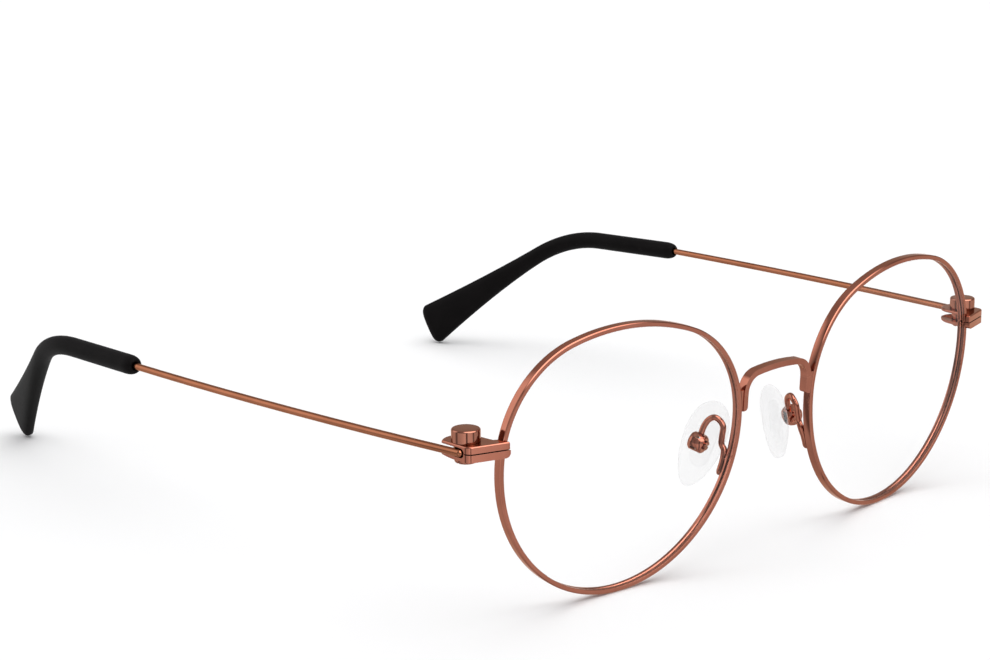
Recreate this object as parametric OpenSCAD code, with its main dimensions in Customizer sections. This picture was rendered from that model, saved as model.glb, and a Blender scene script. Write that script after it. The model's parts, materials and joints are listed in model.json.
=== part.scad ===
// Wire eyeglasses, open, standing on the rims and on the temple tips.
// +X is the wearer's left, +Y runs back along the temples and +Z is up.
// The left half is drawn, and the right half is its mirror image.

/* [Rims] */
// Width across the outside of one rim
rim_w = 49.8; // [46:0.2:54]
// Height across the outside of one rim
rim_h = 44.4; // [43:0.2:48]
// Radius of the flat arc along the brow
brow_r = 40.5; // [34:0.5:50]
// Radius of the shoulders beside the brow
shoulder_r = 18; // [14:0.5:20]
// Turn of the outline in its own plane, temple shoulder up
outline_turn = 3.3; // [0:0.1:5]
// Depth of the rim wire from front to back
rim_d = 1.55; // [1.4:0.05:2]
// Thickness of the rim wire across the outline
rim_t = 0.8; // [0.7:0.05:1.1]
// Bevel along the outer edges of the rim wire
rim_bevel = 0.16; // [0.05:0.01:0.25]
// Depth of the groove that holds the lens
groove_depth = 0.3; // [0.2:0.05:0.4]
// Width of the mouth of the groove
groove_w = 0.5; // [0.4:0.05:0.8]

/* [Lenses] */
// Thickness of the lens
lens_t = 1.4; // [1:0.1:2]
// Radius of the lens's front and back curves
lens_curve_r = 400; // [300:10:800]

/* [Front] */
// Gap between the rims at the nose
nose_gap = 17.2; // [16:0.2:20]
// Angle by which each rim turns back towards its temple
wrap = 5.3; // [3:0.1:7]
// Angle by which the top of the front leans forward
front_lean = 3.2; // [1:0.1:5]

/* [Bridge] */
// Height of the bridge's top above the widest line of the rims
bridge_rise = 7.7; // [7:0.1:9]
// Radius of the shallow arch along the bridge
bridge_r = 42; // [30:1:80]
// Radius of the bends between the bridge and its legs
bridge_bend_r = 3.2; // [2:0.1:3.6]
// Thickness of the bridge strip
strip_t = 1; // [0.8:0.05:1.2]
// Depth of the bridge strip from front to back
strip_d = 1.5; // [1.2:0.05:1.8]
// Distance from the inner face of a leg to the rim
leg_stand = 1.25; // [1.1:0.05:1.6]
// Height of the soldered foot of a leg
leg_foot_h = 3.6; // [2.5:0.1:4.2]
// Height of the foot's lower end above the widest line of the rims
leg_foot_rise = 0.8; // [0:0.1:1.5]
// Rounding of the lower corner of a leg
leg_round = 0.6; // [0.3:0.05:0.8]

/* [Hinges] */
// Distance of the hinge axis outboard of the rim
hinge_out = 3.45; // [3.2:0.05:4]
// Distance of the hinge axis behind the rim's front edge
hinge_back = 3.7; // [3.5:0.05:4.4]
// Height of the hinge above the widest line of the rims
hinge_rise = 3.75; // [3:0.05:4.5]
// Height of the two closed lugs together
lug_h = 2.5; // [2.3:0.05:2.8]
// Radius of the lug's eye round the hinge axis
lug_eye_r = 3.2; // [3:0.05:3.5]
// Distance by which the eye's centre lies behind the hinge axis
lug_eye_back = 0.7; // [0.4:0.05:0.9]
// Distance from the hinge axis to the flat outer face of the lug
lug_out = 2.27; // [2.1:0.01:2.4]
// Distance from the hinge axis forward to the lug's outer corner
lug_corner = 3.05; // [2.8:0.05:3.3]
// Distance by which the lug laps over the front of the rim
lug_lap = 1.05; // [0.6:0.05:1.2]
// Distance by which the lug stands proud of the rim's front
lug_proud = 1.35; // [1:0.05:1.6]
// Slit between the two lugs
lug_slit = 0.14; // [0.08:0.02:0.2]
// Rounding of the lug's outer corner
lug_round = 1.2; // [0.6:0.1:1.6]
// Radius of the upswept underside at the rear of the lower lug
lug_sweep_r = 15; // [14:0.5:24]
// Rounding under the front end of the lower lug
lug_heel_r = 0.8; // [0.4:0.05:1]
// Diameter of the hinge knob
knob_d = 4.5; // [4:0.1:5]
// Height of the hinge knob
knob_h = 2.05; // [1.6:0.05:2.4]
// Rounding of the knob's upper edge
knob_round = 0.35; // [0.2:0.05:0.6]
// Diameter of the barrel that turns between the lugs
barrel_d = 3.7; // [3.4:0.1:3.9]
// Height of the barrel
barrel_h = 1.3; // [1.2:0.05:1.4]
// Diameter of the sleeve that the barrel turns on
sleeve_d = 1.6; // [1.4:0.05:1.8]
// Diameter of the hinge screw's head
hinge_head_d = 3.6; // [3:0.1:4]
// Height of the hinge screw's head
hinge_head_h = 0.8; // [0.6:0.05:1]
// Diameter of the hinge screw's shank
hinge_shank_d = 0.9; // [0.7:0.05:1]

/* [Temples] */
// Diameter of the temple wire
wire_d = 1.2; // [1:0.05:1.25]
// Distance along the temple from the hinge to the mouth of the tip
mouth_at = 78; // [70:0.5:86]
// Angle by which the temple spreads outward at the hinge
splay = 5.8; // [4:0.1:7]
// Radius of the temple's outward bow
bow_r = 735; // [600:5:1000]
// Angle by which the temple dips towards the back
temple_dip = 0.5; // [0.2:0.1:0.8]
// Distance by which the wire's front end reaches ahead of the hinge axis
wire_nose = 1.65; // [1.3:0.05:1.8]
// Clear space between the wire's front end and the lugs
wire_clear = 0.3; // [0.1:0.05:0.4]

/* [Temple tips] */
// Length of the tip from its mouth to the bend
tip_run = 21; // [16:0.5:26]
// Angle by which the tip turns inward at its mouth
tip_in = 2.8; // [0:0.1:4]
// Angle by which the tip droops at its mouth
tip_droop = 1.3; // [0:0.1:3]
// Height of the tip's round part
tip_h = 3.5; // [3:0.1:4]
// Thickness of the tip's round part
tip_t = 3.5; // [3:0.1:3.8]
// Length of the tip's rounded nose round the wire
tip_nose = 2.2; // [1:0.1:3]
// Angle of the bend behind the ear
drop_angle = 35; // [30:1:42]
// Inward lean of the drop
drop_cant = 26.5; // [15:0.5:32]
// Radius of the bend
bend_r = 28; // [16:1:34]
// Width of the paddle at its end
paddle_w = 9.1; // [7:0.1:10]
// Thickness of the paddle at its end
paddle_t = 2.7; // [2.2:0.1:3.2]
// Rounding of the paddle's corners
paddle_round = 1.4; // [1:0.1:2]
// Extra share of the paddle's flare that goes to its lower edge
paddle_set = 0.4; // [0:0.05:0.8]
// Distance from the end of the wire core to the end of the paddle
core_short = 9; // [6:0.5:16]

/* [Nose pads] */
// Height of the pad
pad_h = 15.2; // [13:0.2:16]
// Width of the pad
pad_w = 7.4; // [6.8:0.1:8.4]
// Thickness of the pad
pad_t = 2; // [1.8:0.1:2.6]
// Distance from the mid-plane to the pad screw
pad_x = 11.6; // [11:0.1:12.4]
// Distance of the pad screw behind the rim's front
pad_y = 4.5; // [4:0.1:5.2]
// Height of the pad screw below the widest line of the rims
pad_drop = 5.3; // [4.5:0.1:6]
// Angle by which the pad opens towards the face
pad_splay = 20; // [14:1:24]
// Angle by which the pad's top leans towards the nose
pad_flare = 15; // [10:1:18]
// Angle by which the pad's top leans forward
pad_pitch = 17; // [12:1:20]
// Distance from the pad screw to the back of the pad
pad_stand = 1.9; // [1.8:0.05:2.2]
// Size of the pad box across the screw
box_w = 2.6; // [2.3:0.1:2.8]
// Height of the pad box
box_h = 3; // [2.7:0.1:3.2]
// Depth of the pad box from its mouth
box_d = 2.5; // [2.2:0.1:2.7]
// Radius of the ball that rounds the pad box
box_round_r = 1.85; // [1.75:0.05:2]
// Thickness of the tab held in the pad box
tab_t = 0.9; // [0.7:0.05:1]
// Diameter of the pad screw
pad_screw_d = 0.7; // [0.6:0.05:0.8]
// Diameter of the pad arm's wire
arm_d = 1.05; // [0.9:0.05:1.2]
// Angle along the rim to the middle of the arm's foot, from the temple side
arm_at = 199; // [196:0.5:203]
// Length of the arm's foot along the rim
arm_foot = 4.6; // [3.5:0.1:5.5]
// Height of the arm's loop above the pad box
loop_rise = 3; // [2.6:0.1:3.4]

/* [Clearances] */
// Soldered seam between pieces that never move
seam = 0.02; // [0.01:0.01:0.04]
// Running clearance of a pin in its hole
run_gap = 0.03; // [0.02:0.01:0.06]
// Side clearance of a moving piece between two faces
side_gap = 0.08; // [0.06:0.01:0.12]
// Clearance round the lens in its rim
lens_gap = 0.05; // [0.03:0.01:0.08]

/* [Hidden] */
$fn = 64;
metal = [0.66, 0.37, 0.28];
far = 60;

// The outline is four tangent arcs: one round the bottom, two shoulders and the brow.
rim_r = rim_w / 2;
brow_sink = brow_r - (rim_h - rim_r);
low_reach = rim_r - shoulder_r;
brow_reach = brow_r - shoulder_r;
shoulder_y = (brow_reach ^ 2 - low_reach ^ 2 - brow_sink ^ 2) / (2 * brow_sink);
shoulder_x = sqrt(low_reach ^ 2 - shoulder_y ^ 2);
side_turn = atan2(shoulder_y, shoulder_x);
brow_turn = atan2(shoulder_y + brow_sink, shoulder_x);
// Where two arcs meet, one is a hair thicker and laps over the other, so that they join in one piece.
lap = 0.004;
lap_turn = 0.4;
shoulder_sweep = brow_turn - side_turn + 2 * lap_turn;
// Each arc is its centre, its radius, its first angle, its sweep and its extra thickness.
OUTLINE = [
    [[0, 0, 0], rim_r, 180 - side_turn, 180 + 2 * side_turn, 0],
    [[shoulder_x, shoulder_y, 0], shoulder_r, side_turn - lap_turn, shoulder_sweep, lap],
    [[0, -brow_sink, 0], brow_r, brow_turn, 180 - 2 * brow_turn, 0],
    [[-shoulder_x, shoulder_y, 0], shoulder_r, 180 - brow_turn - lap_turn, shoulder_sweep, lap]
];

// Places of the lens, the hinge and the pad screw before the model is centred.
lens_x = nose_gap / 2 + rim_r * cos(wrap);
lens_z = rim_r * cos(front_lean) - rim_bevel * sin(front_lean);
hinge = [lens_x + rim_r * cos(wrap) + hinge_out, rim_r * sin(wrap) + hinge_back, lens_z + hinge_rise];
pad_pivot = [pad_x, pad_y, lens_z - pad_drop];
pad_turn = [pad_pitch, -pad_flare, -pad_splay];

// The bridge strip, in the leaning plane of the front.
leg_x = nose_gap / 2 - leg_stand + strip_t / 2;
bridge_mid_r = bridge_r - strip_t / 2;
bridge_turn = asin((leg_x - bridge_bend_r) / (bridge_mid_r - bridge_bend_r));
bridge_y = rim_d / 2 * cos(wrap) - rim_r * sin(wrap);
bend_z = bridge_rise - bridge_r + (bridge_mid_r - bridge_bend_r) * cos(bridge_turn);

// The temple's path: a long shallow arc, the bend behind the ear, and the straight drop.
pocket_h = barrel_h + 2 * side_gap;
plate_t = (lug_h - pocket_h) / 2;
wire_out = barrel_d / 2 + wire_d / 2 - 0.1;
bow_centre = [wire_out - bow_r * cos(splay), bow_r * sin(splay), 0];
function bow_angle(s) = s / bow_r * 180 / PI - splay;
function bow_point(s) = bow_centre + bow_r * [cos(bow_angle(s)), sin(bow_angle(s)), 0];
mouth = bow_point(mouth_at);
mouth_turn = bow_angle(mouth_at) + tip_in;
run_out = [cos(mouth_turn), sin(mouth_turn), 0];
run_back = [-sin(mouth_turn), cos(mouth_turn), 0];
run_t = cos(tip_droop) * run_back - [0, 0, sin(tip_droop)];
run_up = sin(tip_droop) * run_back + [0, 0, cos(tip_droop)];
bend_n = -sin(drop_cant) * run_out - cos(drop_cant) * run_up;
bend_b = cross(run_t, bend_n);
bend_centre = mouth + tip_run * run_t + bend_r * bend_n;
function bend_point(a) = bend_centre + bend_r * (sin(a) * run_t - cos(a) * bend_n);
function bend_normal(a) = cos(a) * bend_n - sin(a) * run_t;
drop_from = bend_point(drop_angle);
drop_t = cos(drop_angle) * run_t + sin(drop_angle) * bend_n;
drop_n = bend_normal(drop_angle);
// The paddle's face stands upright along the head, so the skin turns a little round the bend.
function unit(v) = v / norm(v);
paddle_down = unit([0, drop_t[2], -drop_t[1]]);
paddle_side = cross(drop_t, paddle_down);
paddle_turn = atan2(paddle_down * bend_b, paddle_down * drop_n);
function dip_z(v) = v[2] * cos(temple_dip) - v[1] * sin(temple_dip);
function dip_y(v) = v[1] * cos(temple_dip) + v[2] * sin(temple_dip);

// A closed skin is drawn through rings of points. Each ring has this many points.
tip_sides = 24;
function power(v, e) = sign(v) * abs(v) ^ e;
function ring(centre, across, along, half_a, half_b, square) = [
    for (i = [0:tip_sides - 1])
        centre
            + half_a * power(cos(360 * i / tip_sides), 2 / square) * across
            + half_b * power(sin(360 * i / tip_sides), 2 / square) * along
];

// The paddle's end is worked out first: its lowest point tells how far the drop reaches to the floor.
flare = (paddle_w - tip_h) / 2;
cap_steps = 6;
function cap_ring(i, reach) =
    let (turn = 90 * i / cap_steps)
    ring(
        drop_from + (reach - paddle_round * (1 - sin(turn))) * drop_t + paddle_set * flare * paddle_down,
        paddle_down,
        paddle_side,
        paddle_w / 2 - paddle_round * (1 - cos(turn)),
        paddle_t / 2 - paddle_t / 4 * (1 - cos(turn)),
        4
    );
cap_low = min([for (i = [0:cap_steps], v = cap_ring(i, 0)) dip_z(v)]);
drop_len = (hinge[2] + cap_low) / -dip_z(drop_t);

mouth_steps = 6;
mouth_hole = wire_d * 0.62;
mouth_lip = wire_d * 0.8;
function mouth_ring(i) =
    let (turn = 90 * i / mouth_steps)
    let (half_h = mouth_lip + (tip_h / 2 - mouth_lip) * sin(turn))
    let (half_t = mouth_lip + (tip_t / 2 - mouth_lip) * sin(turn))
    ring(mouth + tip_nose * (1 - cos(turn)) * run_t, bend_n, bend_b, half_h, half_t, 2);
run_steps = 3;
function run_ring(i) =
    let (reach = tip_nose + (tip_run - tip_nose) * i / run_steps)
    ring(mouth + reach * run_t, bend_n, bend_b, tip_h / 2, tip_t / 2, 2);
bend_steps = 10;
function bend_ring(i) =
    let (turn = drop_angle * i / bend_steps)
    let (twist = paddle_turn * i / bend_steps)
    let (across = cos(twist) * bend_normal(turn) + sin(twist) * bend_b)
    let (along = cos(twist) * bend_b - sin(twist) * bend_normal(turn))
    ring(bend_point(turn), across, along, tip_h / 2, tip_t / 2, 2);
flare_steps = 12;
function flare_ring(i) =
    let (part = i / flare_steps)
    let (widen = flare * part ^ 1.55)
    ring(
        drop_from + part * (drop_len - paddle_round) * drop_t + paddle_set * widen * paddle_down,
        paddle_down,
        paddle_side,
        tip_h / 2 + widen,
        tip_t / 2 + (paddle_t - tip_t) / 2 * part,
        2 + 2 * part
    );
TIP_RINGS = concat(
    [for (i = [0:mouth_steps]) mouth_ring(i)],
    [for (i = [1:run_steps]) run_ring(i)],
    [for (i = [1:bend_steps]) bend_ring(i)],
    [for (i = [1:flare_steps]) flare_ring(i)],
    [for (i = [1:cap_steps]) cap_ring(i, drop_len)]
);

// The model is moved back by half its depth, so that its origin is under its middle.
front_y = (bridge_y - strip_d / 2) * cos(front_lean) - bridge_rise * sin(front_lean);
back_y = hinge[1] + max([for (r = TIP_RINGS, v = r) dip_y(v)]);
middle_y = (front_y + back_y) / 2;

echo(hinge = hinge - [0, middle_y, 0], pad_pivot = pad_pivot - [0, middle_y, 0], pad_turn = pad_turn);
echo(depth = back_y - front_y, drop_len = drop_len, front = front_y - middle_y, middle = middle_y);

module skin(rings) {
    sides = len(rings[0]);
    last = len(rings) - 1;
    polyhedron(
        points = [for (r = rings, v = r) v],
        faces = concat(
            [[for (i = [0:sides - 1]) i]],
            [
                for (r = [0:last - 1], i = [0:sides - 1])
                    [r * sides + i, (r + 1) * sides + i, r * sides + (i + 1) % sides]
            ],
            [
                for (r = [0:last - 1], i = [0:sides - 1])
                    [r * sides + (i + 1) % sides, (r + 1) * sides + i, (r + 1) * sides + (i + 1) % sides]
            ],
            [[for (i = [sides - 1:-1:0]) last * sides + i]]
        )
    );
}

module centred() {
    translate([0, -middle_y, 0]) children();
}

module right() {
    mirror([1, 0, 0]) children();
}

// The outline's own plane: x towards the temple, y up, z forward, z = 0 in the middle of the rim wire.
module on_rim() {
    centred() translate([lens_x, 0, lens_z]) rotate([front_lean, 0, 0]) rotate([0, 0, wrap])
        translate([0, rim_d / 2, 0]) rotate([90, 0, 0]) rotate([0, 0, outline_turn]) children();
}

// The leaning plane of the bridge: x to the left, y up, z forward.
module on_bridge() {
    centred() translate([0, 0, lens_z]) rotate([front_lean, 0, 0]) translate([0, bridge_y, 0])
        rotate([90, 0, 0]) children();
}

module on_hinge() {
    centred() translate(hinge) children();
}

module on_temple() {
    on_hinge() rotate([-temple_dip, 0, 0]) children();
}

// The pad screw's frame: x away from the nose, y back along the screw, z up the pad.
module on_pad() {
    centred() translate(pad_pivot) rotate(pad_turn) children();
}

module follow_outline() {
    for (a = OUTLINE) {
        $swell = a[4];
        translate(a[0]) rotate([0, 0, a[2]]) rotate_extrude(angle = a[3], $fn = 180)
            translate([a[1], 0]) children();
    }
}

// The rim wire in section: bevelled outside, grooved inside.
module rim_section() {
    half = rim_d / 2 + $swell;
    inner = -rim_t - $swell;
    polygon([
        [inner, -half],
        [$swell - rim_bevel, -half],
        [$swell, rim_bevel - half],
        [$swell, half - rim_bevel],
        [$swell - rim_bevel, half],
        [inner, half],
        [inner, groove_w / 2],
        [inner + groove_depth, 0],
        [inner, -groove_w / 2]
    ]);
}

module rim_envelope() {
    on_rim() follow_outline() translate([-rim_t - seam, -rim_d / 2 - seam - $swell])
        square([rim_t + 2 * seam + $swell, rim_d + 2 * seam + 2 * $swell]);
}

module rim() {
    difference() {
        on_rim() follow_outline() rim_section();
        on_hinge() translate([-far / 4, -far / 2, -lug_slit / 2]) cube([far, far, lug_slit]);
    }
}

// The lens: a curved disc, cut to the outline with a bevelled edge that sits in the groove.
lens_inset = rim_t + lens_gap;
bevel_half = groove_w / 2 - lens_gap;
module lens() {
    blank_r = rim_r + lens_t;
    front_z = lens_t / 2 + rim_r ^ 2 / (2 * lens_curve_r);
    on_rim() difference() {
        rotate_extrude($fn = 180) intersection() {
            difference() {
                translate([0, front_z - lens_curve_r]) circle(lens_curve_r, $fn = 720);
                translate([0, front_z - lens_t - lens_curve_r]) circle(lens_curve_r, $fn = 720);
            }
            translate([0, -far / 2]) square([blank_r, far]);
        }
        follow_outline() polygon([
            [-lens_inset - $swell, -far / 10],
            [-lens_inset - $swell, -bevel_half],
            [groove_depth - lens_inset - $swell, 0],
            [-lens_inset - $swell, bevel_half],
            [-lens_inset - $swell, far / 10],
            [far / 4, far / 10],
            [far / 4, -far / 10]
        ]);
    }
}

module strip_arc(centre, radius, first, sweep, swell) {
    translate(centre) rotate([0, 0, first]) rotate_extrude(angle = sweep, $fn = 180)
        translate([radius, 0]) square([strip_t + 2 * swell, strip_d + 2 * swell], center = true);
}

// A foot reaches well past the rim's outside and is cut back to it, so that it meets the rim at any size.
foot_reach = rim_r * 0.18;
module rim_inside() {
    depth = foot_reach * 1.6;
    on_rim() follow_outline() translate([-depth, -rim_d * 1.5 - $swell])
        square([depth + seam + $swell, rim_d * 3 + 2 * $swell]);
}

module bridge_leg() {
    strip_arc([leg_x - bridge_bend_r, bend_z, 0], bridge_bend_r, -2, 94 - bridge_turn, lap);
    leg_in = leg_x - strip_t / 2;
    linear_extrude(strip_d, center = true) polygon(concat(
        [
            for (i = [0:6])
                let (turn = 180 + 90 * i / 6)
                [leg_in + leg_round * (1 + cos(turn)), leg_foot_rise + leg_round * (1 + sin(turn))]
        ],
        [[leg_in + strip_t, leg_foot_rise], [leg_in + strip_t, bend_z], [leg_in, bend_z]]
    ));
    foot_d = rim_d - 2 * rim_bevel;
    foot_w = nose_gap / 2 + foot_reach - leg_x;
    translate([leg_x, leg_foot_rise, -foot_d / 2]) cube([foot_w, leg_foot_h, foot_d]);
}

module bridge_shape() {
    difference() {
        on_bridge() {
            strip_arc([0, bridge_rise - bridge_r, 0], bridge_mid_r, 90 - bridge_turn, 2 * bridge_turn, 0);
            bridge_leg();
            mirror([1, 0, 0]) bridge_leg();
        }
        rim_inside();
        right() rim_inside();
    }
}

// The plan of both lugs, seen from above with the hinge axis at the origin.
module lug_plan() {
    slope = atan2(hinge_back + lug_proud - lug_corner, hinge_out + lug_lap + lug_out);
    round_y = lug_round * tan((90 - slope) / 2) - lug_corner;
    corner = [
        for (i = [0:6])
            let (turn = (slope - 90) * (1 - i / 6))
            [lug_out - lug_round * (1 - cos(turn)), round_y + lug_round * sin(turn)]
    ];
    intersection() {
        union() {
            translate([0, lug_eye_back]) circle(lug_eye_r);
            polygon(concat(
                [[-hinge_out - lug_lap, -hinge_back - lug_proud]],
                corner,
                [
                    [lug_out, lug_eye_back + lug_eye_r / 2],
                    [-lug_eye_r, lug_eye_back],
                    [-hinge_out, rim_d - hinge_back - rim_bevel],
                    [-hinge_out - lug_lap, rim_d / 2 - hinge_back]
                ]
            ));
        }
        translate([-far / 2, -far / 2]) square([far / 2 + lug_out, far]);
    }
}

// The space between the forked plates, open behind and at both sides, where the barrel and the wire turn.
module lug_pocket() {
    stop_y = wire_nose + wire_clear;
    cylinder(h = pocket_h, d = barrel_d + 6 * side_gap, center = true);
    translate([-far / 2, pocket_h / 2 - stop_y, -pocket_h / 2]) cube([far, far, pocket_h]);
    translate([0, pocket_h / 2 - stop_y, 0]) rotate([0, 90, 0]) cylinder(h = far, d = pocket_h, center = true);
}

module lug(low, high) {
    difference() {
        on_hinge() difference() {
            translate([0, 0, low]) linear_extrude(high - low) lug_plan();
            lug_pocket();
            cylinder(h = far, d = sleeve_d + 2 * seam, center = true);
        }
        rim_envelope();
    }
}

module upper_lug() {
    lug(lug_slit / 2, lug_h / 2);
}

module lower_lug() {
    difference() {
        lug(-lug_h / 2, -lug_slit / 2);
        on_hinge() difference() {
            translate([-far / 2, 0, -far]) cube([far, far, far]);
            translate([0, 0, lug_sweep_r - lug_h / 2]) rotate([0, 90, 0])
                cylinder(h = 2 * far, r = lug_sweep_r, center = true, $fn = 180);
        }
        on_hinge() translate([lug_heel_r - hinge_out - lug_lap, 0, lug_heel_r - lug_h / 2]) difference() {
            translate([-far, -far / 2, -far]) cube([far, far, far]);
            rotate([90, 0, 0]) cylinder(h = 2 * far, r = lug_heel_r, center = true);
        }
    }
}

// The knob and the sleeve under it are one turned piece, bored from below for the screw.
sleeve_low = lug_h / 2 - plate_t / 2;
module hinge_knob() {
    on_hinge() difference() {
        rotate_extrude() union() {
            translate([0, lug_h / 2]) square([knob_d / 2 - knob_round, knob_h]);
            translate([0, lug_h / 2]) square([knob_d / 2, knob_h - knob_round]);
            translate([knob_d / 2 - knob_round, lug_h / 2 + knob_h - knob_round]) intersection() {
                circle(knob_round);
                square(knob_round);
            }
            translate([0, -sleeve_low]) square([sleeve_d / 2, sleeve_low + lug_h / 2]);
        }
        translate([0, 0, -lug_h]) cylinder(h = lug_h * 1.4, d = hinge_shank_d + 2 * seam);
    }
}

module hinge_screw() {
    slot_w = hinge_head_d / 7;
    on_hinge() difference() {
        translate([0, 0, -lug_h / 2]) rotate_extrude() union() {
            square([hinge_shank_d / 2, lug_h * 0.8]);
            translate([0, -hinge_head_h]) square([hinge_head_d / 2 - hinge_head_h / 2, hinge_head_h]);
            translate([hinge_head_d / 2 - hinge_head_h / 2, -hinge_head_h / 2]) intersection() {
                circle(hinge_head_h / 2);
                translate([0, -hinge_head_h]) square([hinge_head_h, 2 * hinge_head_h]);
            }
        }
        translate([-hinge_head_d, -slot_w / 2, -lug_h / 2 - hinge_head_h * 1.5])
            cube([2 * hinge_head_d, slot_w, hinge_head_h]);
    }
}

// The temple wire: the bowed stretch with a rounded front end, then its core inside the tip.
// The core steps down in thickness at the tip's mouth, at the bend and at the drop.
nose_at = wire_d / 2 - wire_nose;
core_lap = 1.2;
module wire_bow(grow) {
    translate(bow_centre) rotate([0, 0, bow_angle(nose_at)])
        rotate_extrude(angle = bow_angle(mouth_at + core_lap) - bow_angle(nose_at), $fn = 720)
            translate([bow_r, 0]) circle(wire_d / 2 + grow, $fn = 32);
    translate(bow_point(nose_at)) sphere(wire_d / 2 + grow - lap, $fn = 32);
}

// Places a piece with its x, y and z along three directions.
module along(x, y, z, at) {
    multmatrix([
        [x[0], y[0], z[0], at[0]],
        [x[1], y[1], z[1], at[1]],
        [x[2], y[2], z[2], at[2]]
    ]) children();
}

module wire_core(grow) {
    along(bend_n, bend_b, run_t, mouth)
        cylinder(h = tip_run + core_lap, r = wire_d * 0.44 + grow, $fn = 32);
    along(-bend_n, run_t, bend_b, bend_centre)
        rotate_extrude(angle = drop_angle) translate([bend_r, 0]) circle(wire_d * 0.38 + grow, $fn = 32);
    along(drop_n, bend_b, drop_t, drop_from - core_lap * drop_t)
        cylinder(h = drop_len - core_short + core_lap, r = wire_d * 0.32 + grow, $fn = 32);
}

module hinge_barrel() {
    difference() {
        on_hinge() difference() {
            cylinder(h = barrel_h, d = barrel_d, center = true);
            cylinder(h = 2 * barrel_h, d = sleeve_d + 2 * run_gap, center = true);
        }
        on_temple() wire_bow(seam);
    }
}

module temple_wire() {
    on_temple() {
        wire_bow(0);
        wire_core(0);
    }
}

module temple_tip() {
    on_temple() difference() {
        skin(TIP_RINGS);
        wire_bow(seam);
        wire_core(seam);
        along(bend_n, bend_b, run_t, mouth)
            cylinder(h = wire_d, r = mouth_hole, center = true, $fn = 32);
    }
}

// The pad arm: a wire whose foot lies along the rim's back, rises behind the rim, and loops over to the box.
arm_sides = 16;
arm_steps = 5;
foot_angle = arm_foot / rim_r * 180 / PI;
arm_r = rim_r - rim_t / 2;
function rim_back(at, off, aside) = [
    lens_x + arm_r * cos(at) * cos(wrap) + aside * arm_d,
    rim_d + arm_r * (cos(at) * sin(wrap) - sin(at) * sin(front_lean)) + off * arm_d,
    lens_z + arm_r * sin(at)
];
box_top = pad_pivot + [-0.18 * box_h, 0, 0.4 * box_h];
ARM_ROUTE = [
    rim_back(arm_at + foot_angle / 2, 0.36, 0),
    rim_back(arm_at, 0.4, 0),
    rim_back(arm_at - foot_angle * 0.4, 0.8, -0.1),
    rim_back(arm_at - foot_angle * 0.63, 1.4, 0.2),
    rim_back(arm_at - foot_angle * 0.97, 1.62, 0.17),
    rim_back(arm_at - foot_angle * 1.25, 1.75, 0.08),
    box_top + loop_rise * [-0.6, -0.84, 0.86],
    box_top + loop_rise * [-0.48, -0.53, 1],
    box_top + loop_rise * [-0.35, -0.21, 0.8],
    box_top + loop_rise * [-0.2, -0.07, 0.5],
    box_top + loop_rise * [-0.07, -0.02, 0.2],
    box_top - loop_rise * [0, 0, 0.1]
];
// A smooth curve through the route's points, by stretches of a cubic.
function route_point(p, i, t) =
    let (a = p[max(i - 1, 0)], b = p[i], c = p[i + 1], d = p[min(i + 2, len(p) - 1)])
    b + t / 2 * (c - a + t * (2 * a - 5 * b + 4 * c - d + t * (3 * (b - c) + d - a)));
ARM_POINTS = concat(
    [for (i = [0:len(ARM_ROUTE) - 2], j = [0:arm_steps - 1]) route_point(ARM_ROUTE, i, j / arm_steps)],
    [ARM_ROUTE[len(ARM_ROUTE) - 1]]
);
// The foot is a little thicker than the wire, with a rounded end.
function arm_swell(i) = i == 0 ? 0.55 : i == 1 ? 1.05 : 1 + 0.16 * min(1, max(0, (13 - i) / 5));
function arm_radius(i) = arm_d / 2 * arm_swell(i);
function tube_ring(p, i, radius) =
    let (t = unit(p[min(i + 1, len(p) - 1)] - p[max(i - 1, 0)]))
    let (n = unit(cross([0.8, -0.6, 0], t)))
    let (b = cross(t, n))
    [for (k = [0:arm_sides - 1]) p[i] + radius * (cos(360 * k / arm_sides) * n + sin(360 * k / arm_sides) * b)];

module pad_arm() {
    difference() {
        centred() skin([for (i = [0:len(ARM_POINTS) - 1]) tube_ring(ARM_POINTS, i, arm_radius(i))]);
        rim_envelope();
        on_pad() pad_box_body(seam);
    }
}

// The pad box: a block with a round back, rounded all over by a ball.
module pad_box_body(grow) {
    intersection() {
        union() {
            translate([-box_d * 0.4 - grow, -box_w / 2 - grow, -box_h / 2 - grow])
                cube([box_d * 0.6 + grow, box_w + 2 * grow, box_h + 2 * grow]);
            translate([box_d * 0.2, 0, 0]) rotate([90, 0, 0])
                cylinder(h = box_w + 2 * grow, r = box_h / 2 + grow, center = true);
        }
        translate([box_d * 0.1, 0, 0]) sphere(box_round_r + grow);
    }
}

module pad_box() {
    slot_w = tab_t + 2 * side_gap;
    on_pad() difference() {
        pad_box_body(0);
        translate([-box_d, -slot_w / 2, -box_h * 0.38]) cube([box_d * 1.7, slot_w, box_h * 0.76]);
        rotate([90, 0, 0]) cylinder(h = far, d = pad_screw_d + 2 * seam, center = true);
    }
}

module pad_screw() {
    head_d = pad_screw_d * 2.2;
    head_h = pad_screw_d * 0.5;
    on_pad() difference() {
        union() {
            rotate([90, 0, 0]) cylinder(h = box_w * 1.15, d = pad_screw_d, center = true);
            translate([0, -box_w / 2 - head_h, 0]) rotate([-90, 0, 0]) cylinder(h = head_h, d = head_d);
        }
        translate([-head_d, -box_w / 2 - head_h * 1.5, -head_d / 10]) cube([2 * head_d, head_h, head_d / 5]);
    }
}

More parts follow.
